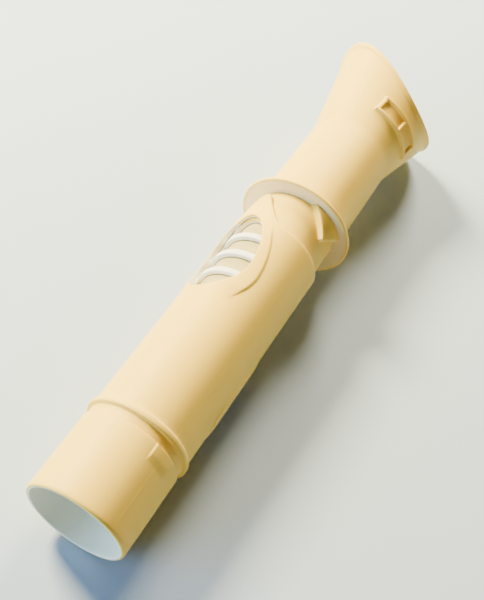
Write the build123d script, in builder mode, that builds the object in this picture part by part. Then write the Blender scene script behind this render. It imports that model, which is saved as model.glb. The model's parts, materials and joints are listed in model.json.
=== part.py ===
from build123d import *
from math import cos, radians, sin
import os

# Grunt tube call: a blown reed call with a twist sleeve.
# The tube lies along +Y, from the rim of its exhaust end at the origin to the mouth.
# "Front" is the pointer lug's side, turned by ROLL from +Z towards +X. "Side" is a quarter
# turn further, where the lower window is. The upper window is on the opposite side.
# Lengths are millimetres, and a station is a distance along the tube.

# Driving dimensions
R = 16.0  # outer radius of the barrel, which the outside's proportions follow
ROLL = 47.0  # degrees
RUN = 0.3  # gap between pieces that turn past each other
FIT = 0.05  # gap between pieces that are pushed together
NIP = 0.04  # gap left round an O-ring in its groove
LONG = 3 * R  # reach of a cut that goes right through

# Exhaust tube
exhaust_end = 1.64 * R
exhaust_wall = 1.4
exhaust_bore_r = R - exhaust_wall
socket_r = exhaust_bore_r - 0.6  # the barrel's spigot sits in a narrower socket
rim_round = 1.0
pad_start = 1.35 * R
pad_half_width = 0.245 * R
pad_r = R + 0.3
ridge_r = R + 0.06
ridge_half_width = 0.25

# Barrel
spigot_start = 14.0
spigot_r = socket_r - FIT
spigot_bore_r = 12.75
land_r = 0.97 * R
bead_station = 1.89 * R
bead_half = 0.065 * R
bead_r = 1.05 * R
ring_room_start = 30.0
ledge_start = 36.0
ledge_end = 38.0
ledge_r = 12.2
barrel_bore_r = 14.8
barrel_front = 6.83 * R
tongue_tip = 7.64 * R
border_r = 1.028 * R

# Windows: each is as wide as it gets at its waist
window_half = 0.682 * R
window_below = 0.79 * R
window_above = 1.32 * R
upper_waist = 5.63 * R
lower_waist = 3.48 * R
lower_scale = 0.9  # the lower window is shorter, which leaves room for a seal above it
border_drop = 0.18 * R  # a border's waist is this far below the window's
border_half = 0.86 * R
border_below = 1.2 * R
border_above = 1.78 * R
border_bury = 0.15  # a border's two ends dip this far under the surface
border_ends = (0.84 * R, 1.5 * R)  # they are this far from its waist
border_fade = 0.45 * R  # and it reaches its full height this far inside them
rib_spacing = 0.51 * R
rib_half = 0.07 * R
rib_offset = 0.3 * R  # middle rib above the waist
slot_margin = 0.5  # the slots between the ribs are this much smaller than the window

# Inner tube
inner_r = barrel_bore_r - RUN
inner_bore_r = 13.0
inner_bore_start = 43.5
inner_end = 7.79 * R
nose_start = 31.0
nose_r = ledge_r - RUN
nose_bore_r = 10.2
pointer_r = 1.05 * R
pointer_apex = 7.28 * R
pointer_shift = 0.07 * R
pointer_half_width = 0.5 * R
pointer_round = 0.7

# Retaining ring and washer
ring_start = 33.5
ring_thick = 1.2
ring_groove_r = 11.2
ring_r = 12.7
ring_gap = 5.0
washer_start = ring_start + ring_thick + FIT
washer_thick = 0.9

# Vent liner
liner_gap = 0.1
liner_thick = 0.9

# Mouthpiece
flange_thick = 1.3
flange_r = 1.25 * R
neck_r = 0.975 * R
neck_end_r = 0.955 * R
neck_end = 10.35 * R
neck_bore_r = 14.0
mouth_wall = 1.4
mouth_end = 12.85 * R
mouth_wide_r = 1.592 * R
mouth_narrow_r = 1.275 * R
mouth_shift = 0.065 * R  # the mouth's oval is nearer the front than the tube's axis
rim_middle = 12.633 * R
rim_slope = 0.303  # the rim falls towards the front
rim_bow = 0.344 / R  # and curves down both ways, as a lip rest
lip_rise = 0.6
lip_length = 2.8
bracket_rise = 1.1
bracket_rails = (10.95 * R, 11.32 * R)
bracket_rail_half = 0.034 * R
bracket_half_width = 0.68 * R
bracket_rung = 0.63 * R
mouth_spigot_start = 112.0
mouth_spigot_r = inner_bore_r - FIT
mouth_spigot_bore_r = 11.7
holder_seat = 127.0

# Reed assembly
holder_start = 113.0
holder_r = mouth_spigot_bore_r - FIT
collar_r = 13.2
collar_end = 129.0
holder_bore_r = 6.5
board_r = holder_bore_r - FIT
board_end = 169.0
board_flat = 0.5  # height of the board's flat above the axis, towards the back
board_corner = 3.0
lay_start = 139.0
lay_drop = 1.0
channel_half_width = 2.4
channel_floor = -3.6
channel_end = 160.0
reed_gap = 0.2
reed_thick = 0.3
reed_half_width = 4.5
reed_root = 125.0
reed_tip = 167.0
wedge_end = 128.8
band_start = 131.0
band_end = 134.0
band_thick = 1.6
band_clear = 0.1
band_over_reed = 0.4

# Seals
seal_groove_half = 0.7
turn_seal_stations = {"turn_seal_lower": 41.5, "turn_seal_upper": 75.9}
turn_groove_r = 13.75
holder_seal_stations = {"holder_seal_rear": 116.7, "holder_seal_front": 123.7}
holder_groove_r = 10.5
mouthpiece_seal_station = 118.0
mouthpiece_groove_r = 12.2
exhaust_seal_station = 20.0
exhaust_groove_r = 13.35

front = Vector(sin(radians(ROLL)), 0, cos(radians(ROLL)))
back = -front
side = Vector(cos(radians(ROLL)), 0, -sin(radians(ROLL)))
along = Vector(0, 1, 0)
windows = ((-side, upper_waist, 1), (side, lower_waist, lower_scale))


def station(y, towards=front):
    """Plane across the tube, whose x points towards a direction."""
    return Plane(origin=(0, y, 0), x_dir=towards, z_dir=along)


def long_section(towards=front):
    """Plane along the tube: its x points towards a direction and its y is the station."""
    return Plane(origin=(0, 0, 0), x_dir=towards, z_dir=towards.cross(along))


def facing(direction):
    """Plane through the axis that faces a direction: its y is the station."""
    return Plane(origin=(0, 0, 0), x_dir=along.cross(direction), z_dir=direction)


def turn(*points, mode=Mode.ADD):
    """Revolve a half section, given as (radius, station) points, into the current piece."""
    with BuildSketch(long_section()) as section:
        with BuildLine():
            Polyline(*points, close=True)
        make_face()
    revolve(section.sketch, axis=Axis.Y, mode=mode)


def ring(inner, outer, start, end, mode=Mode.ADD):
    """A plain ring between two radii and two stations."""
    turn((inner, start), (outer, start), (outer, end), (inner, end), mode=mode)


def groove(inner, outer, y):
    """Cut a seal's groove round the axis."""
    ring(inner, outer, y - seal_groove_half, y + seal_groove_half, mode=Mode.SUBTRACT)


def seal(inner, outer, y):
    """An O-ring that fills the gap between a groove's floor and a wall."""
    with BuildSketch(long_section()) as section:
        with Locations(((inner + outer) / 2, y)):
            Circle((outer - inner) / 2 - NIP)
    revolve(section.sketch, axis=Axis.Y)


def egg_face(waist, wide, below, above):
    """Draw an egg in the current sketch: two half ellipses that meet at its waist."""
    with BuildLine() as halves:
        EllipticalCenterArc((0, waist), wide, below, start_angle=180, arc_size=180)
        EllipticalCenterArc((0, waist), wide, above, start_angle=0, arc_size=180)
    make_face(halves.edges())


def egg(direction, waist, wide, below, above):
    """Egg-shaped sketch that faces a direction."""
    with BuildSketch(facing(direction)) as outline:
        egg_face(waist, wide, below, above)
    return outline.sketch


def tongue_sketch(top):
    """Everything above the barrel's front edge, apart from the pointed tongue in its middle."""
    with BuildSketch(facing(side)) as notch:
        with BuildLine():
            edge = Spline(
                (0.82 * R, barrel_front), (0.6 * R, 6.93 * R), (0.36 * R, 7.23 * R),
                (0.2 * R, 7.47 * R), (0, tongue_tip),
                tangents=[(-1, 0), (-1, 0.1)],
            )
            Polyline(edge @ 1, (0, top), (LONG, top), (LONG, barrel_front), edge @ 0)
        make_face()
        mirror(about=Plane.YZ)
    return notch.sketch


def flare(grow, mode=Mode.ADD):
    """The widening mouth: straight-sided from the neck's circle to the oval."""
    with BuildSketch(station(neck_end)) as start:
        Circle(neck_end_r + grow)
    with BuildSketch(station(mouth_end)) as end:
        with Locations((mouth_shift, 0)):
            Ellipse(mouth_narrow_r + grow, mouth_wide_r + grow)
    loft([start.sketch.face(), end.sketch.face()], ruled=True, mode=mode)


def rim_curve(drop):
    """The rim seen from the side, as one parabola across the tube."""
    crown = rim_middle - drop
    return Bezier(
        (-LONG, crown + rim_slope * LONG - rim_bow * LONG**2),
        (0, crown + rim_bow * LONG**2),
        (LONG, crown - rim_slope * LONG - rim_bow * LONG**2),
    )


def rim_slab(low_drop, high_drop, mode):
    """What lies between two levels measured down from the rim's curved surface."""
    with BuildSketch(long_section()) as slab:
        with BuildLine():
            low = rim_curve(low_drop)
            high = rim_curve(high_drop)
            Line(low @ 0, high @ 0)
            Line(low @ 1, high @ 1)
        make_face()
    extrude(slab.sketch, amount=LONG, both=True, mode=mode)


def ridge(start, end):
    """Fine mould line along the front and the back of a moulding."""
    with BuildSketch(station(start)) as line:
        Rectangle(2 * ridge_r, 2 * ridge_half_width)
        Circle(R - exhaust_wall / 2, mode=Mode.SUBTRACT)
    extrude(line.sketch, amount=end - start)


def border(direction, waist):
    """Raised band round a window, which sinks into the barrel's surface at both ends."""
    middle = waist - border_drop
    low = middle - border_ends[0]
    high = middle + border_ends[1]
    outline = egg(direction, middle, border_half, border_below, border_above)
    with BuildPart() as band:
        extrude(outline, amount=2 * R)
        turn(
            (barrel_bore_r, low), (R - border_bury, low), (border_r, low + border_fade),
            (border_r, high - border_fade), (R - border_bury, high), (barrel_bore_r, high),
            mode=Mode.INTERSECT,
        )
    return band.part


def export(piece, name):
    """Label one finished piece and write its file."""
    piece.part.label = name
    export_step(piece.part, f"parts/{name}.step")


os.makedirs("parts", exist_ok=True)

# Exhaust tube: plain end section, pushed over the barrel's spigot, with a key pad
with BuildPart() as exhaust_tube:
    ring(socket_r, R, 0, exhaust_end)
    with BuildSketch(facing(front)):
        with Locations((0, (pad_start + exhaust_end) / 2)):
            RectangleRounded(2 * pad_half_width, exhaust_end - pad_start, 0.8)
    extrude(amount=pad_r)
    ridge(0.1 * R, exhaust_end)
    ring(socket_r, pad_r, 0, exhaust_end, mode=Mode.INTERSECT)
    ring(0, exhaust_bore_r, 0, spigot_start, mode=Mode.SUBTRACT)
    rims = exhaust_tube.edges().filter_by(GeomType.CIRCLE).group_by(Axis.Y)[0]
    fillet(rims.sort_by(SortBy.RADIUS)[-1], rim_round)
export(exhaust_tube, "exhaust_tube")

# Barrel: the long sleeve, with its spigot, bead, windows and tongues
borders = [border(direction, waist) for direction, waist, _ in windows]
with BuildPart() as outer_barrel:
    turn(
        (spigot_bore_r, spigot_start), (spigot_r, spigot_start), (spigot_r, exhaust_end),
        (land_r, exhaust_end), (land_r, bead_station - bead_half),
        (bead_r, bead_station - bead_half), (bead_r, bead_station + bead_half),
        (R, bead_station + bead_half), (R, tongue_tip), (barrel_bore_r, tongue_tip),
        (barrel_bore_r, ledge_end), (ledge_r, ledge_end), (ledge_r, ledge_start),
        (barrel_bore_r, ledge_start), (barrel_bore_r, ring_room_start),
        (spigot_bore_r, ring_room_start),
    )
    bead_edges = outer_barrel.edges().filter_by(GeomType.CIRCLE).sort_by(SortBy.RADIUS)[-2:]
    fillet(bead_edges, 0.7 * (bead_r - R))
    groove(exhaust_groove_r, spigot_r + FIT, exhaust_seal_station)
    ridge(bead_station + bead_half, barrel_front)
    add(borders)
    for direction, waist, scale in windows:
        hole = egg(direction, waist, window_half * scale, window_below * scale, window_above * scale)
        extrude(hole, amount=2 * R, mode=Mode.SUBTRACT)
    extrude(tongue_sketch(tongue_tip + R), amount=LONG, both=True, mode=Mode.SUBTRACT)
export(outer_barrel, "outer_barrel")

# Pointer lug: a triangle under the flange that turns with the inner tube
with BuildPart() as pointer:
    with BuildSketch(facing(front)) as lug:
        Polygon(
            (-pointer_half_width, inner_end), (pointer_shift, pointer_apex),
            (pointer_half_width, inner_end),
            align=None,
        )
        fillet(lug.vertices().group_by(Axis.Y)[0], pointer_round)
    extrude(amount=2 * R)
    ring(inner_r - FIT, pointer_r, pointer_apex - 1, inner_end, mode=Mode.INTERSECT)

# Inner tube: turns in the barrel and carries the hoop ribs that the windows show
with BuildPart() as inner_tube:
    turn(
        (nose_bore_r, nose_start), (nose_r, nose_start), (nose_r, ledge_end + RUN),
        (inner_r, ledge_end + RUN), (inner_r, inner_end), (inner_bore_r, inner_end),
        (inner_bore_r, inner_bore_start), (nose_bore_r, inner_bore_start),
    )
    add(pointer)
    for direction, waist, scale in windows:
        wide, below, above = [
            extent * scale - slot_margin for extent in (window_half, window_below, window_above)
        ]
        ribs = [(0, waist + rib_offset + n * rib_spacing) for n in (-1, 0, 1)]
        with BuildSketch(facing(direction)) as slots:
            egg_face(waist, wide, below, above)
            with Locations(*ribs):
                Rectangle(LONG, 2 * rib_half, mode=Mode.SUBTRACT)
        extrude(slots.sketch, amount=2 * R, mode=Mode.SUBTRACT)
    groove(ring_groove_r, nose_r, ring_start + ring_thick / 2)
    for seal_station in turn_seal_stations.values():
        groove(turn_groove_r, inner_r, seal_station)
export(inner_tube, "inner_tube")

# Retaining ring: split, and sprung into the groove of the inner tube's nose
with BuildPart() as retaining_ring:
    ring(ring_groove_r + FIT, ring_r, ring_start, ring_start + ring_thick)
    with BuildSketch(station(ring_start)):
        with Locations((-R, 0)):
            Rectangle(2 * R, ring_gap)
    extrude(amount=ring_thick, mode=Mode.SUBTRACT)
export(retaining_ring, "retaining_ring")

with BuildPart() as thrust_washer:
    ring(nose_r + FIT, ring_r, washer_start, washer_start + washer_thick)
export(thrust_washer, "thrust_washer")

# Bracket: two rails and three rungs that stand out of the mouth's front
with BuildPart() as bracket:
    flare(bracket_rise)
    with BuildSketch(facing(front)) as ladder:
        with Locations(*[(0, y) for y in bracket_rails]):
            Rectangle(2 * bracket_half_width, 2 * bracket_rail_half)
        with Locations(*[(x, sum(bracket_rails) / 2) for x in (-bracket_rung, 0, bracket_rung)]):
            Rectangle(2 * bracket_rail_half, bracket_rails[1] - bracket_rails[0])
    extrude(ladder.sketch, amount=2 * R, mode=Mode.INTERSECT)
    flare(-mouth_wall / 2, mode=Mode.SUBTRACT)

# Lip: a thin bead that follows the rim
with BuildPart() as lip:
    flare(lip_rise)
    rim_slab(0, lip_length, mode=Mode.INTERSECT)

# Mouthpiece: spigot, flange, neck and flared oval mouth
with BuildPart() as mouthpiece:
    flare(0)
    rim_slab(0, LONG, mode=Mode.INTERSECT)
    add(lip)
    add(bracket)
    flare(-mouth_wall, mode=Mode.SUBTRACT)
    turn(
        (mouth_spigot_bore_r, mouth_spigot_start), (mouth_spigot_r, mouth_spigot_start),
        (mouth_spigot_r, inner_end), (flange_r, inner_end), (flange_r, inner_end + flange_thick),
        (neck_r, inner_end + flange_thick), (neck_end_r, neck_end),
        (neck_end_r - mouth_wall, neck_end), (neck_bore_r, holder_seat),
        (mouth_spigot_bore_r, holder_seat),
    )
    groove(mouthpiece_groove_r, mouth_spigot_r, mouthpiece_seal_station)
    fillet(mouthpiece.edges().filter_by(GeomType.CIRCLE).sort_by(SortBy.RADIUS)[-2:], 0.4)
export(mouthpiece, "mouthpiece")

# Vent liner: soft sleeve behind the ribs, so that the windows damp the sound without a draught
with BuildPart() as vent_liner:
    ring(
        inner_bore_r - liner_thick, inner_bore_r - liner_gap,
        inner_bore_start + FIT, mouth_spigot_start - FIT,
    )
export(vent_liner, "vent_liner")

# Reed holder: stopper that hangs by its collar on the mouthpiece's seat
with BuildPart() as reed_holder:
    turn(
        (holder_bore_r, holder_start), (holder_r, holder_start), (holder_r, holder_seat),
        (collar_r, holder_seat), (collar_r, collar_end), (holder_bore_r, collar_end),
    )
    for seal_station in holder_seal_stations.values():
        groove(holder_groove_r, holder_r, seal_station)
export(reed_holder, "reed_holder")

# Tone board: half round, with a flat that falls away from the reed and an air channel
with BuildPart() as tone_board:
    with BuildSketch(station(holder_start, back)):
        Circle(board_r)
        with Locations((board_flat + R, 0)):
            Rectangle(2 * R, 2 * R, mode=Mode.SUBTRACT)
    extrude(amount=board_end - holder_start)
    with BuildSketch(long_section(back)):
        with BuildLine():
            lay = Spline(
                (board_flat, lay_start), (board_flat - lay_drop, board_end),
                tangents=[(0, 1), (-2 * lay_drop / (board_end - lay_start), 1)],
            )
            Polyline(lay @ 1, (R, board_end), (R, lay_start), lay @ 0)
        make_face()
    extrude(amount=R, both=True, mode=Mode.SUBTRACT)
    with BuildSketch(facing(back).offset(channel_floor)):
        with Locations((0, channel_end / 2)):
            RectangleRounded(2 * channel_half_width, channel_end, channel_half_width - FIT)
    extrude(amount=R, mode=Mode.SUBTRACT)
    with BuildSketch(facing(back)):
        with Locations((0, (holder_start + board_end) / 2)):
            RectangleRounded(2 * board_r, board_end - holder_start, board_corner)
        with Locations((0, holder_start)):
            Rectangle(2 * board_r, 2 * board_corner)
    extrude(amount=R, both=True, mode=Mode.INTERSECT)
export(tone_board, "tone_board")

# Reed: a springy strip just off the board's flat
reed_low = board_flat + reed_gap
reed_high = reed_low + reed_thick
with BuildPart() as reed:
    with BuildSketch(facing(back).offset(reed_low)) as strip:
        with Locations((0, (reed_root + reed_tip) / 2)):
            Rectangle(2 * reed_half_width, reed_tip - reed_root)
        fillet(strip.vertices().group_by(Axis.Y)[-1], board_corner)
    extrude(amount=reed_thick)
export(reed, "reed")

# Wedge: fills the holder's bore above the reed's root
with BuildPart() as reed_wedge:
    with BuildSketch(station(holder_start, back)):
        Circle(board_r)
        with Locations((reed_high + reed_gap - R, 0)):
            Rectangle(2 * R, 2 * R, mode=Mode.SUBTRACT)
    extrude(amount=wedge_end - holder_start)
export(reed_wedge, "reed_wedge")

# Tuning band: rubber band round board and reed that slides to change the pitch
band_inner_r = board_r + band_clear
band_inner_top = reed_high + band_over_reed
with BuildPart() as tuning_band:
    with BuildSketch(station(band_start, back)):
        Circle(band_inner_r + band_thick)
        with Locations((band_inner_top + band_thick + R, 0)):
            Rectangle(2 * R, 2 * R, mode=Mode.SUBTRACT)
        with BuildSketch(mode=Mode.SUBTRACT):
            Circle(band_inner_r)
            with Locations((band_inner_top + R, 0)):
                Rectangle(2 * R, 2 * R, mode=Mode.SUBTRACT)
    extrude(amount=band_end - band_start)
export(tuning_band, "tuning_band")

# Seals
for name, y in turn_seal_stations.items():
    with BuildPart() as turn_seal:
        seal(turn_groove_r, barrel_bore_r, y)
    export(turn_seal, name)
for name, y in holder_seal_stations.items():
    with BuildPart() as holder_seal:
        seal(holder_groove_r, mouth_spigot_bore_r, y)
    export(holder_seal, name)
with BuildPart() as mouthpiece_seal:
    seal(mouthpiece_groove_r, inner_bore_r, mouthpiece_seal_station)
export(mouthpiece_seal, "mouthpiece_seal")
with BuildPart() as exhaust_seal:
    seal(exhaust_groove_r, socket_r, exhaust_seal_station)
export(exhaust_seal, "exhaust_seal")
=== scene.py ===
import json
from math import cos, pi, radians, sin

import bmesh
import bpy
import numpy as np
from mathutils import Matrix, Vector


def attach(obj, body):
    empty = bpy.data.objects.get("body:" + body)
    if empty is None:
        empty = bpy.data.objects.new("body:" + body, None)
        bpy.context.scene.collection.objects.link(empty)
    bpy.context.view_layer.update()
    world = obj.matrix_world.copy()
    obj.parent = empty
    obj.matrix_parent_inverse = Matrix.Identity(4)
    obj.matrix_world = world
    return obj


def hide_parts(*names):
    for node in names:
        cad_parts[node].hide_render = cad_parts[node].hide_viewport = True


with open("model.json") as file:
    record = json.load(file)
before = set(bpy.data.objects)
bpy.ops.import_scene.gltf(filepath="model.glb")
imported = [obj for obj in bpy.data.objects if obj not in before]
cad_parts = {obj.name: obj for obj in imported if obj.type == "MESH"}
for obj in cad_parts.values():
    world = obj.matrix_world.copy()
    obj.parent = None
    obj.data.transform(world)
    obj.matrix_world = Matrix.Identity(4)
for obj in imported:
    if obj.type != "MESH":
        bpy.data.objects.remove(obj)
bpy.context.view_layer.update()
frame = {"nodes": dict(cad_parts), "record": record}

# Everything is in metres. The tube lies along +Y, from its exhaust rim at the origin.
# FRONT points to the pointer lug's side and SIDE is a quarter turn further round.
MM = 0.001
R = 16 * MM  # outer radius of the barrel, which the proportions follow
FRONT_TURN = radians(47)  # from straight up
FRONT = Vector((sin(FRONT_TURN), 0, cos(FRONT_TURN)))
SIDE = Vector((cos(FRONT_TURN), 0, -sin(FRONT_TURN)))

# Camera: looks down along the tube, from over its exhaust end
CAMERA_AT = Vector((0.05890, -0.07456, 0.24536))
CAMERA_AZIMUTH = 19.665
CAMERA_ELEVATION = 54.787
CAMERA_ROLL = 12.842
CAMERA_LENS = 57.0
CAMERA_SENSOR = 36.0
CAMERA_NEAR = 0.01

# Mesh detail
VOXEL = 0.26 * MM
SOFTENING = 5  # smoothing passes, which round a moulding's edges
SMOOTHING = 0.5  # share of the way that each pass moves a point
SNAP = 0.04 * MM  # reach within which a flat facet is put back on its cylinder
RADIUS_STEP = 0.002 * MM  # radii closer than this count as one cylinder
CYLINDER_POINTS = 60  # a radius that more points share than this is a cylinder
WELD = 0.001 * MM
MOST_TRIANGLES = 190000
COARSE_STEP = 1.2 * MM
FINE_STEP = 0.22 * MM
RIM_STEP = 0.4 * MM

# Painted light: where the shells are painted a paler colour in place of the cool light
# on them: inward faces, and the inner tube under the barrel. Each pair is the start and
# the end of a soft border.
INWARD_SOFT = 2 * MM
COVERED_RADII = (R - 1.0 * MM, R - 0.6 * MM)
COVERED_STATIONS = (107 * MM, 110 * MM)


def make_camera():
    data = bpy.data.cameras.new("camera")
    data.lens = CAMERA_LENS
    data.sensor_width = CAMERA_SENSOR
    data.clip_start = CAMERA_NEAR
    camera = bpy.data.objects.new("camera", data)
    bpy.context.collection.objects.link(camera)
    turn = Matrix.Rotation(radians(CAMERA_AZIMUTH), 4, "Z")
    tip = Matrix.Rotation(radians(90 - CAMERA_ELEVATION), 4, "X")
    roll = Matrix.Rotation(radians(CAMERA_ROLL), 4, "Z")
    camera.matrix_world = Matrix.Translation(CAMERA_AT) @ turn @ tip @ roll
    bpy.context.scene.camera = camera


make_camera()


# ---- Materials ----

class Surface:
    """A node material: the principled shader, with short ways to add what feeds it."""

    def __init__(self, name, colour, roughness, **fixed):
        self.material = bpy.data.materials.new(name)
        self.material.use_nodes = True
        self.tree = self.material.node_tree
        self.shader = self.tree.nodes["Principled BSDF"]
        self.shader.inputs["Base Color"].default_value = (*colour, 1)
        self.shader.inputs["Roughness"].default_value = roughness
        for socket, value in fixed.items():
            self.shader.inputs[socket.replace("_", " ")].default_value = value
        coordinates = self.tree.nodes.new("ShaderNodeTexCoord")
        self.place = coordinates.outputs["Object"]
        self.facing = coordinates.outputs["Normal"]

    def link(self, output, socket):
        self.tree.links.new(output, socket)

    def noise(self, scale, detail=3, stretch=(1, 1, 1)):
        """Noise in the object's own space, from 0 to 1, stretched along its axes."""
        place = self.tree.nodes.new("ShaderNodeMapping")
        place.inputs["Scale"].default_value = stretch
        self.link(self.place, place.inputs["Vector"])
        node = self.tree.nodes.new("ShaderNodeTexNoise")
        node.inputs["Scale"].default_value = scale
        node.inputs["Detail"].default_value = detail
        self.link(place.outputs["Vector"], node.inputs["Vector"])
        return node.outputs["Fac"]

    def ramp(self, value, *stops):
        """Turn a value into a colour, through (position, colour) stops."""
        node = self.tree.nodes.new("ShaderNodeValToRGB")
        while len(node.color_ramp.elements) < len(stops):
            node.color_ramp.elements.new(0.5)
        for element, (position, colour) in zip(node.color_ramp.elements, stops):
            element.position = position
            element.color = (*colour, 1)
        self.link(value, node.inputs["Fac"])
        return node.outputs["Color"]

    def spread(self, value, low, high, start=0.3, end=0.7):
        """Map a value's middle range to low..high."""
        node = self.tree.nodes.new("ShaderNodeMapRange")
        node.inputs["From Min"].default_value = start
        node.inputs["From Max"].default_value = end
        node.inputs["To Min"].default_value = low
        node.inputs["To Max"].default_value = high
        self.link(value, node.inputs["Value"])
        return node.outputs["Result"]

    def feed(self, socket, value):
        """Link an output to a socket, or set the socket to a constant."""
        if isinstance(value, (float, tuple)):
            socket.default_value = value
        else:
            self.link(value, socket)

    def blend(self, factor, first, second, mode="MIX"):
        """Mix two colours by a factor."""
        node = self.tree.nodes.new("ShaderNodeMix")
        node.data_type = "RGBA"
        node.blend_type = mode
        colours = [socket for socket in node.inputs if socket.type == "RGBA"]
        self.feed(node.inputs["Factor"], factor)
        self.feed(colours[0], first)
        self.feed(colours[1], second)
        return next(socket for socket in node.outputs if socket.type == "RGBA")

    def vector(self, operation, first, second, output="Vector"):
        """Vector arithmetic."""
        node = self.tree.nodes.new("ShaderNodeVectorMath")
        node.operation = operation
        self.feed(node.inputs[0], first)
        self.feed(node.inputs[1], second)
        return node.outputs[output]

    def combine(self, operation, first, second):
        """Arithmetic on two values."""
        node = self.tree.nodes.new("ShaderNodeMath")
        node.operation = operation
        self.link(first, node.inputs[0])
        self.link(second, node.inputs[1])
        return node.outputs[0]

    def painted_light_mask(self):
        """Mask for the painted light: 1 where a shell faces the tube's axis or lies inside the
        barrel, 0 outside.
        """
        across = self.vector("MULTIPLY", self.place, (1, 0, 1))
        outward = self.vector("DOT_PRODUCT", self.facing, across, "Value")
        inward = self.spread(outward, 1, 0, -INWARD_SOFT, INWARD_SOFT)
        radius = self.vector("LENGTH", across, across, "Value")
        station = self.vector("DOT_PRODUCT", self.place, (0, 1, 0), "Value")
        low = self.spread(radius, 1, 0, *COVERED_RADII)
        under = self.spread(station, 1, 0, *COVERED_STATIONS)
        return self.combine("MAXIMUM", inward, self.combine("MULTIPLY", low, under))

    def bumps(self, *layers):
        """Stack bump layers, each given as (height output, distance in metres)."""
        normal = None
        for height, distance in layers:
            node = self.tree.nodes.new("ShaderNodeBump")
            node.inputs["Distance"].default_value = distance
            self.link(height, node.inputs["Height"])
            if normal is not None:
                self.link(normal, node.inputs["Normal"])
            normal = node.outputs["Normal"]
        self.link(normal, self.shader.inputs["Normal"])


def shade(colour, factor):
    """The same colour, lighter or darker."""
    return tuple(min(1, factor * c) for c in colour)


def moulded_plastic(name, light, deep, roughness=0.5, painted_light_colour=None):
    """Satin moulded plastic: cloudy colour, faint flow lines, fine grain and a few scuffs.

    Covered and inward surfaces get a paler painted colour, where one is given, which stands in
    for the cool light on them.
    """
    s = Surface(
        name, light, roughness, IOR=1.46, Specular_IOR_Level=0.32,
        Subsurface_Weight=0.06, Subsurface_Scale=2 * MM,
    )
    s.shader.inputs["Subsurface Radius"].default_value = (1.0, 0.8, 0.5)
    cloud = s.noise(55, 4)
    flow = s.noise(160, 2, stretch=(1, 0.08, 1))
    specks = s.noise(2600, 2)
    tone = s.ramp(cloud, (0.32, deep), (0.68, light))
    aged = s.ramp(flow, (0.3, shade(light, 0.97)), (0.7, light))
    soft = s.spread(s.noise(20, 2), 0.25, 0.5)
    colour = s.blend(soft, tone, aged)
    dust = s.ramp(specks, (0.24, (0.86, 0.83, 0.76)), (0.29, (1, 1, 1)))
    colour = s.blend(1.0, colour, dust, "MULTIPLY")
    # Painted light: inward and covered faces get a paler colour that stands in for the cool light
    # falling on them.
    if painted_light_colour:
        painted_light_tone = s.ramp(cloud, (0.3, painted_light_colour), (0.7, shade(painted_light_colour, 1.04)))
        colour = s.blend(s.painted_light_mask(), colour, painted_light_tone)
    s.link(colour, s.shader.inputs["Base Color"])
    scuffs = s.spread(s.noise(900, 5, stretch=(1, 0.12, 1)), 0, 1, 0.45, 0.75)
    patches = s.spread(s.noise(70, 3), 0, 1, 0.45, 0.65)
    worn = s.combine("MULTIPLY", scuffs, patches)
    s.link(s.spread(worn, roughness, roughness + 0.22, 0, 1), s.shader.inputs["Roughness"])
    s.bumps((flow, 0.02 * MM), (s.noise(1400, 3), 0.012 * MM))
    return s.material


def soft_rubber(name, light, deep, roughness=0.7):
    """Matte rubber or silicone, with a dusty mottle and a fine moulded grain."""
    s = Surface(name, light, roughness, Sheen_Weight=0.15, Sheen_Roughness=0.5)
    mottle = s.noise(240, 4)
    s.link(s.ramp(mottle, (0.3, deep), (0.7, light)), s.shader.inputs["Base Color"])
    s.link(s.spread(mottle, roughness - 0.08, roughness + 0.1), s.shader.inputs["Roughness"])
    s.bumps((s.noise(420, 3), 0.04 * MM), (s.noise(2400, 2), 0.02 * MM))
    return s.material


def machined_nylon(name, light, deep):
    """Natural nylon, slightly clear, with fine lines round the axis."""
    s = Surface(name, light, 0.42, IOR=1.53, Subsurface_Weight=0.2, Subsurface_Scale=3 * MM)
    rings = s.noise(700, 2, stretch=(0.15, 1, 0.15))
    s.link(s.ramp(rings, (0.3, deep), (0.7, light)), s.shader.inputs["Base Color"])
    s.link(s.spread(s.noise(180, 3), 0.36, 0.52), s.shader.inputs["Roughness"])
    s.bumps((rings, 0.02 * MM))
    return s.material


def frosted_film(name, light, deep):
    """Sheet plastic for the reed, sanded along its length."""
    s = Surface(name, light, 0.32, IOR=1.57, Transmission_Weight=0.25)
    sanding = s.noise(1500, 3, stretch=(1, 0.05, 1))
    s.link(s.ramp(s.noise(120, 3), (0.3, deep), (0.7, light)), s.shader.inputs["Base Color"])
    s.link(s.spread(sanding, 0.26, 0.5), s.shader.inputs["Roughness"])
    s.bumps((sanding, 0.01 * MM))
    return s.material


# One material for each slot of the record, from its light shade and its deep shade
MATERIALS = {
    # The shell's third colour is painted light: a paler tone for inward and covered faces, in
    # place of the cool light on them.
    "shell": moulded_plastic(
        "shell", (0.97, 0.67, 0.09), (0.96, 0.63, 0.07), painted_light_colour=(0.90, 0.87, 0.74)
    ),
    "liner": soft_rubber("liner", (0.58, 0.47, 0.19), (0.48, 0.38, 0.14)),
    "clear_nylon": machined_nylon("clear_nylon", (0.82, 0.80, 0.72), (0.74, 0.71, 0.62)),
    "black_plastic": moulded_plastic(
        "black_plastic", (0.030, 0.031, 0.034), (0.022, 0.022, 0.024), 0.42
    ),
    "reed_film": frosted_film("reed_film", (0.76, 0.79, 0.77), (0.68, 0.71, 0.70)),
    "wedge_rubber": soft_rubber(
        "wedge_rubber", (0.075, 0.066, 0.060), (0.055, 0.048, 0.044)
    ),
    "seal_rubber": soft_rubber(
        "seal_rubber", (0.028, 0.028, 0.029), (0.018, 0.018, 0.019), 0.55
    ),
}


def slot_of(node):
    """The material slot that the record gives a CAD node."""
    for part in frame["record"]["subparts"]:
        if part["node"] == node:
            return part["material_slot"]


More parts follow.
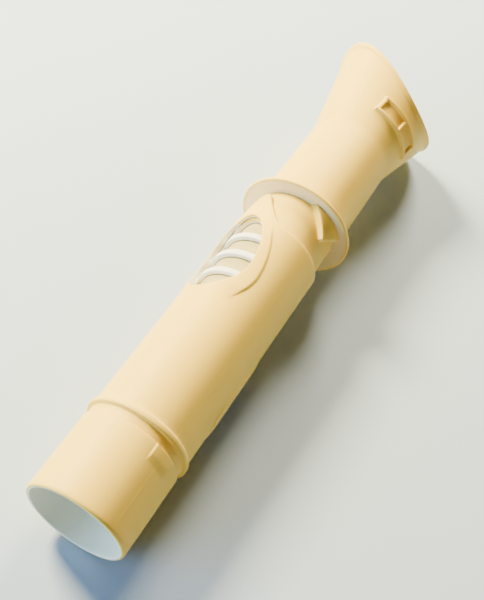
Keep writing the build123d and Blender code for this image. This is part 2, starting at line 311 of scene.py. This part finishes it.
for name, node in frame["nodes"].items():
    node.data.materials.clear()
    node.data.materials.append(MATERIALS[slot_of(name)])


# ---- Shells swept round the axis ----

ROUNDING_POINTS = 6
LONGEST_ROUNDING = 0.45  # share of a side that one rounding may take
COARSE_TURN = radians(2.5)


def rounded_outline(corners, step):
    """Closed outline of (radius, station) points. Each corner is (radius, station, rounding)."""
    points = []
    for i, (x, y, rounding) in enumerate(corners):
        here = np.array((x, y))
        tips = []
        for other in (corners[i - 1], corners[(i + 1) % len(corners)]):
            ray = np.array(other[:2]) - here
            length = np.linalg.norm(ray)
            tips.append(here + ray / length * min(rounding, LONGEST_ROUNDING * length))
        for t in np.linspace(0, 1, ROUNDING_POINTS):
            points.append((1 - t) ** 2 * tips[0] + 2 * t * (1 - t) * here + t**2 * tips[1])
    dense = []
    for a, b in zip(points, points[1:] + points[:1]):
        gap = np.linalg.norm(b - a)
        pieces = max(1, int(np.ceil(gap / step((a[1] + b[1]) / 2))))
        dense += [a + (b - a) * k / pieces for k in range(pieces)]
    return np.array(dense)


def closed_sweep(name, radius, station, angle):
    """Mesh from arrays of (turns, rows) that close up both ways."""
    turns, rows = radius.shape
    c, s = np.cos(angle)[:, None], np.sin(angle)[:, None]
    points = np.empty((turns, rows, 3))
    for axis in range(3):
        points[:, :, axis] = radius * (c * FRONT[axis] + s * SIDE[axis])
    points[:, :, 1] += station
    i, j = np.meshgrid(np.arange(turns), np.arange(rows), indexing="ij")
    next_i, next_j = (i + 1) % turns, (j + 1) % rows
    quads = np.stack(
        (i * rows + j, i * rows + next_j, next_i * rows + next_j, next_i * rows + j), axis=-1
    )
    mesh = bpy.data.meshes.new(name)
    mesh.from_pydata(points.reshape(-1, 3).tolist(), [], quads.reshape(-1, 4).tolist())
    work = bmesh.new()
    work.from_mesh(mesh)
    bmesh.ops.recalc_face_normals(work, faces=work.faces)
    work.to_mesh(mesh)
    work.free()
    mesh.shade_smooth()
    piece = bpy.data.objects.new(name, mesh)
    bpy.context.collection.objects.link(piece)
    return piece


def turn_angles(half, fine):
    """Angles round the tube, closer together within a half width of the front."""
    near = np.arange(-half, half, fine)
    rest = 2 * pi - 2 * half
    count = int(round(rest / COARSE_TURN))
    return np.concatenate((near, half + np.arange(count) * rest / count))


def plateau(distance, half, edge):
    """1 within a half width of 0, falling smoothly to 0 over an edge."""
    t = np.clip((half + edge / 2 - np.abs(distance)) / edge, 0, 1)
    return t * t * (3 - 2 * t)


def max_of(*arrays):
    """Largest of several arrays, point by point."""
    return np.maximum.reduce(arrays)


def wear(piece, node, body):
    """Let a finished mesh stand for its CAD node."""
    slot = slot_of(node)
    piece.data.materials.append(MATERIALS[slot])
    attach(piece, body)
    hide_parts(node)


# Exhaust tube
EXHAUST_END = 1.64 * R
EXHAUST_BORE_R = R - 1.4 * MM
SOCKET_R = EXHAUST_BORE_R - 0.6 * MM
SOCKET_START = 14 * MM
RIM_ROUND = 1.5 * MM
RIM_ROUND_INSIDE = 0.5 * MM
END_ROUND = 0.35 * MM
PAD_MIDDLE = 1.5 * R
PAD_HALF_LENGTH = 0.14 * R
PAD_HALF_WIDTH = 0.245 * R
PAD_RISE = 0.3 * MM
PAD_SLOPES = (0.35 * MM, 0.5 * MM)  # across and along
PAD_TURN = radians(20)  # finer mesh on each side of the front
RIDGE_RISE = 0.08 * MM
RIDGE_HALF_WIDTH = 0.2 * MM
RIDGE_SLOPE = 0.3 * MM
RIDGE_STOP = 0.1 * R  # plain stretch between the rim and the mould line


def make_exhaust_tube():
    """Plain tube with a key pad at the front and a mould line at the front and the back."""
    outline = rounded_outline(
        (
            (R, 0, RIM_ROUND), (R, EXHAUST_END, END_ROUND), (SOCKET_R, EXHAUST_END, 0.1 * MM),
            (SOCKET_R, SOCKET_START, 0.05 * MM), (EXHAUST_BORE_R, SOCKET_START, 0.05 * MM),
            (EXHAUST_BORE_R, 0, RIM_ROUND_INSIDE),
        ),
        lambda y: FINE_STEP if y > PAD_MIDDLE - PAD_HALF_LENGTH - MM else COARSE_STEP,
    )
    angle = turn_angles(PAD_TURN, radians(0.8))
    radius = np.repeat(outline[None, :, 0], len(angle), 0)
    station = np.repeat(outline[None, :, 1], len(angle), 0)
    across = R * np.sin(angle)[:, None]
    outside = radius > R - 0.05 * MM
    pad = PAD_RISE * plateau(across, PAD_HALF_WIDTH, PAD_SLOPES[0])
    pad = pad * (np.cos(angle)[:, None] > 0)
    pad = pad * plateau(station - PAD_MIDDLE, PAD_HALF_LENGTH, PAD_SLOPES[1])
    middle, half = (EXHAUST_END + RIDGE_STOP) / 2, (EXHAUST_END - RIDGE_STOP) / 2
    ridge = RIDGE_RISE * plateau(across, RIDGE_HALF_WIDTH, RIDGE_SLOPE)
    ridge = ridge * plateau(station - middle, half - MM, MM)
    radius = radius + outside * max_of(pad, ridge)
    piece = closed_sweep("exhaust_tube_moulding", radius, station, angle)
    wear(piece, "exhaust_tube", "barrel")


make_exhaust_tube()

# Mouthpiece
SPIGOT_START = 112 * MM
SPIGOT_R = 12.95 * MM
SPIGOT_BORE_R = 11.7 * MM
GROOVE_R = 12.2 * MM
GROOVE_STATION = 118 * MM
GROOVE_HALF = 0.7 * MM
FLANGE_START = 7.79 * R
FLANGE_THICK = 1.3 * MM
FLANGE_R = 1.25 * R
NECK_R = 0.975 * R
NECK_END_R = 0.955 * R
NECK_END = 10.35 * R
NECK_BORE_R = 14.0 * MM
HOLDER_SEAT = 127.0 * MM
MOUTH_WALL = 1.4 * MM
MOUTH_END = 12.85 * R
MOUTH_WIDE_R = 1.592 * R
MOUTH_NARROW_R = 1.275 * R
MOUTH_SHIFT = 0.065 * R
RIM_MIDDLE = 12.633 * R
RIM_SLOPE = 0.303
RIM_BOW = 0.344 / R
LIP_RISE = 0.6 * MM
LIP_LENGTH = 2.8 * MM
SHARP = 0.08 * MM  # rounding of the seal groove's corners
SPIGOT_ROUND = 0.3 * MM
FLANGE_ROUND = 0.55 * MM
LIP_ROUND = 0.8 * MM
RIM_EDGE_ROUND = 0.7 * MM
SEAT_ROUND = 0.2 * MM
FLARE_SOFTNESS = 0.05
BRACKET_RISE = 1.1 * MM
RUNG_RISE = 0.8 * BRACKET_RISE
BRACKET_RAILS = (10.95 * R, 11.32 * R)
BRACKET_BAR_HALF = 0.034 * R
BRACKET_BAR_SLOPE = 0.35 * MM
BRACKET_HALF_WIDTH = 0.68 * R
BRACKET_RUNG = 0.63 * R
BRACKET_TURN = radians(48)  # finer mesh on each side of the front
BRACKET_FINE = (BRACKET_RAILS[0] - 2 * MM, BRACKET_RAILS[0] + 1.3 * R)


def flare_radius(angle, station):
    """Outside of the widening mouth: an oval that grows along the tube."""
    share = (station - NECK_END) / (MOUTH_END - NECK_END)
    share = (share + np.sqrt(share**2 + FLARE_SOFTNESS**2)) / 2
    shift = share * MOUTH_SHIFT
    narrow = NECK_END_R + share * (MOUTH_NARROW_R - NECK_END_R)
    wide = NECK_END_R + share * (MOUTH_WIDE_R - NECK_END_R)
    c, s = np.cos(angle), np.sin(angle)
    a = (c / narrow) ** 2 + (s / wide) ** 2
    b = shift * c / narrow**2
    return (b + np.sqrt(b**2 - a * ((shift / narrow) ** 2 - 1))) / a


def rim_station(angle):
    """Where the rim's curved edge lies along the tube."""
    station = np.full_like(angle, RIM_MIDDLE)
    for _ in range(30):
        forward = flare_radius(angle, station) * np.cos(angle)
        station = (station + RIM_MIDDLE - RIM_SLOPE * forward - RIM_BOW * forward**2) / 2
    return station


def bracket_height(across, station):
    """Two rails and three rungs that stand out of the front."""
    def bars(place, middles):
        return max_of(*[plateau(place - x, BRACKET_BAR_HALF, BRACKET_BAR_SLOPE) for x in middles])

    rails = bars(station, BRACKET_RAILS) * plateau(across, BRACKET_HALF_WIDTH, 0.5 * MM)
    middle = sum(BRACKET_RAILS) / 2
    rungs = bars(across, (-BRACKET_RUNG, 0, BRACKET_RUNG))
    rungs = rungs * plateau(station - middle, BRACKET_RAILS[1] - middle, 0.3 * MM)
    return max_of(BRACKET_RISE * rails, RUNG_RISE * rungs)


def mouthpiece_step(station):
    """Mesh step along the outline: finer over the bracket and near the rim."""
    if BRACKET_FINE[0] < station < BRACKET_FINE[1]:
        return FINE_STEP
    return COARSE_STEP if station < RIM_MIDDLE - 4 * MM else RIM_STEP


def make_mouthpiece():
    """Spigot, flange and neck of revolution, then a mouth that widens from the neck."""
    top = RIM_MIDDLE
    lip = NECK_END_R + LIP_RISE
    inside = NECK_END_R - MOUTH_WALL
    groove_low, groove_high = GROOVE_STATION - GROOVE_HALF, GROOVE_STATION + GROOVE_HALF
    flange_end = FLANGE_START + FLANGE_THICK
    outline = rounded_outline(
        (
            (SPIGOT_BORE_R, SPIGOT_START, SPIGOT_ROUND), (SPIGOT_R, SPIGOT_START, SPIGOT_ROUND),
            (SPIGOT_R, groove_low, SHARP), (GROOVE_R, groove_low, SHARP),
            (GROOVE_R, groove_high, SHARP), (SPIGOT_R, groove_high, SHARP),
            (SPIGOT_R, FLANGE_START, SEAT_ROUND), (FLANGE_R, FLANGE_START, FLANGE_ROUND),
            (FLANGE_R, flange_end, FLANGE_ROUND), (NECK_R, flange_end, 0.5 * MM),
            (NECK_END_R, NECK_END, 3 * MM), (NECK_END_R, top - LIP_LENGTH, LIP_ROUND),
            (lip, top - 0.6 * LIP_LENGTH, LIP_ROUND), (lip, top, RIM_EDGE_ROUND),
            (inside, top, RIM_EDGE_ROUND), (inside, NECK_END, 2 * MM),
            (NECK_BORE_R, HOLDER_SEAT, SEAT_ROUND), (SPIGOT_BORE_R, HOLDER_SEAT, SEAT_ROUND),
        ),
        mouthpiece_step,
    )
    angle = turn_angles(BRACKET_TURN, radians(0.7))
    turns = angle[:, None]
    above = np.maximum(outline[None, :, 1] - NECK_END, 0)
    stretch = (rim_station(turns) - NECK_END) / (top - NECK_END)
    station = outline[None, :, 1] + above * (stretch - 1)
    grown = flare_radius(turns, station) - flare_radius(turns, np.full_like(station, NECK_END))
    radius = outline[None, :, 0] + np.where(above > 0, grown, 0)
    outside = (above > 0) & (outline[None, :, 0] > NECK_END_R - 0.2 * MM)
    across = radius * np.sin(turns)
    relief = bracket_height(across, station) * (np.cos(turns) > 0)
    piece = closed_sweep("mouthpiece_moulding", radius + outside * relief, station, angle)
    wear(piece, "mouthpiece", "mouthpiece")


make_mouthpiece()


# ---- Shells with windows: softened copies of the CAD solids ----

def cylinder_radii(points):
    """Radii that many points of a CAD mesh share: its cylinders."""
    radii = np.round(np.hypot(points[:, 0], points[:, 2]) / RADIUS_STEP).astype(int)
    values, counts = np.unique(radii, return_counts=True)
    return values[counts > CYLINDER_POINTS] * RADIUS_STEP


def apply_modifiers(piece):
    """Make the result of a piece's modifiers its mesh."""
    depsgraph = bpy.context.evaluated_depsgraph_get()
    mesh = bpy.data.meshes.new_from_object(piece.evaluated_get(depsgraph))
    piece.modifiers.clear()
    old, piece.data = piece.data, mesh
    bpy.data.meshes.remove(old)


def points_of(mesh):
    points = np.empty(len(mesh.vertices) * 3)
    mesh.vertices.foreach_get("co", points)
    return points.reshape(-1, 3)


def put_points(mesh, points):
    mesh.vertices.foreach_set("co", points.astype(np.float32).ravel())
    mesh.update()


def snap_to_cylinders(mesh, radii):
    """Move points that are nearly on a cylinder onto it, which removes the CAD mesh's facets."""
    points = points_of(mesh)
    radius = np.hypot(points[:, 0], points[:, 2])
    nearest = radii[np.abs(radius[:, None] - radii[None, :]).argmin(axis=1)]
    ratio = np.where(np.abs(radius - nearest) < SNAP, nearest / radius, 1)
    points[:, 0] *= ratio
    points[:, 2] *= ratio
    put_points(mesh, points)


def soft_copy(node, body):
    """A fine, even mesh of a CAD solid with every edge rounded, as a moulding has."""
    source = frame["nodes"][node]
    mesh = source.data.copy()
    mesh.materials.clear()
    piece = bpy.data.objects.new(f"{node}_moulding", mesh)
    bpy.context.collection.objects.link(piece)
    radii = cylinder_radii(points_of(mesh))
    weld = piece.modifiers.new("weld", "WELD")
    weld.merge_threshold = WELD
    remesh = piece.modifiers.new("remesh", "REMESH")
    remesh.mode = "VOXEL"
    remesh.voxel_size = VOXEL
    apply_modifiers(piece)
    snap_to_cylinders(piece.data, radii)
    smooth = piece.modifiers.new("smooth", "SMOOTH")
    smooth.factor = SMOOTHING
    smooth.iterations = SOFTENING
    apply_modifiers(piece)
    snap_to_cylinders(piece.data, radii)
    piece.data.calc_loop_triangles()
    triangles = len(piece.data.loop_triangles)
    if triangles > MOST_TRIANGLES:
        thin = piece.modifiers.new("thin", "DECIMATE")
        thin.ratio = MOST_TRIANGLES / triangles
        apply_modifiers(piece)
    piece.data.shade_smooth()
    wear(piece, node, body)


soft_copy("outer_barrel", "barrel")
soft_copy("inner_tube", "mouthpiece")


# ---- Floor and light ----

FLOOR_LEVEL = -R - 0.2 * MM
FLOOR_FALL = radians(1.8)  # the tube rests on its exhaust rim, its flange and its mouth
FLOOR_HALF = 2.0
LIGHT_TARGET = Vector((0, 0.1, 0))
WORLD_COLOUR = (1.0, 0.92, 0.80, 1)
WORLD_STRENGTH = 0.07


def make_floor():
    mesh = bpy.data.meshes.new("floor")
    work = bmesh.new()
    bmesh.ops.create_grid(work, x_segments=1, y_segments=1, size=FLOOR_HALF)
    work.to_mesh(mesh)
    work.free()
    floor = bpy.data.objects.new("floor", mesh)
    floor.location = (0, 0, FLOOR_LEVEL)
    floor.rotation_euler = (-FLOOR_FALL, 0, 0)
    bpy.context.collection.objects.link(floor)
    s = Surface("floor", (0.47, 0.58, 0.78), 0.8)
    mottle = s.ramp(s.noise(6, 3), (0.3, (0.45, 0.56, 0.76)), (0.7, (0.48, 0.59, 0.79)))
    s.link(mottle, s.shader.inputs["Base Color"])
    floor.data.materials.append(s.material)


def area_light(name, place, size, power, colour):
    """Square light that faces the tube."""
    data = bpy.data.lights.new(name, "AREA")
    data.size = size
    data.energy = power
    data.color = colour
    light = bpy.data.objects.new(name, data)
    bpy.context.collection.objects.link(light)
    light.location = place
    light.rotation_mode = "QUATERNION"
    light.rotation_quaternion = (Vector(place) - LIGHT_TARGET).to_track_quat("Z", "Y")


def make_world():
    """Dim, warm light from all sides."""
    world = bpy.data.worlds.new("studio")
    world.use_nodes = True
    background = world.node_tree.nodes["Background"]
    background.inputs["Color"].default_value = WORLD_COLOUR
    background.inputs["Strength"].default_value = WORLD_STRENGTH
    bpy.context.scene.world = world


make_floor()
area_light("key", (-0.52, 0.27, 0.44), 0.20, 29.0, (1.0, 0.84, 0.46))
area_light("back", (-0.10, 0.66, 0.36), 0.20, 11.0, (1.0, 0.86, 0.54))
area_light("front", (-0.50, -0.46, 0.12), 0.55, 12.0, (0.36, 0.66, 1.0))
area_light("warm", (0.50, 0.05, 0.30), 0.7, 0.35, (1.0, 0.62, 0.16))
make_world()
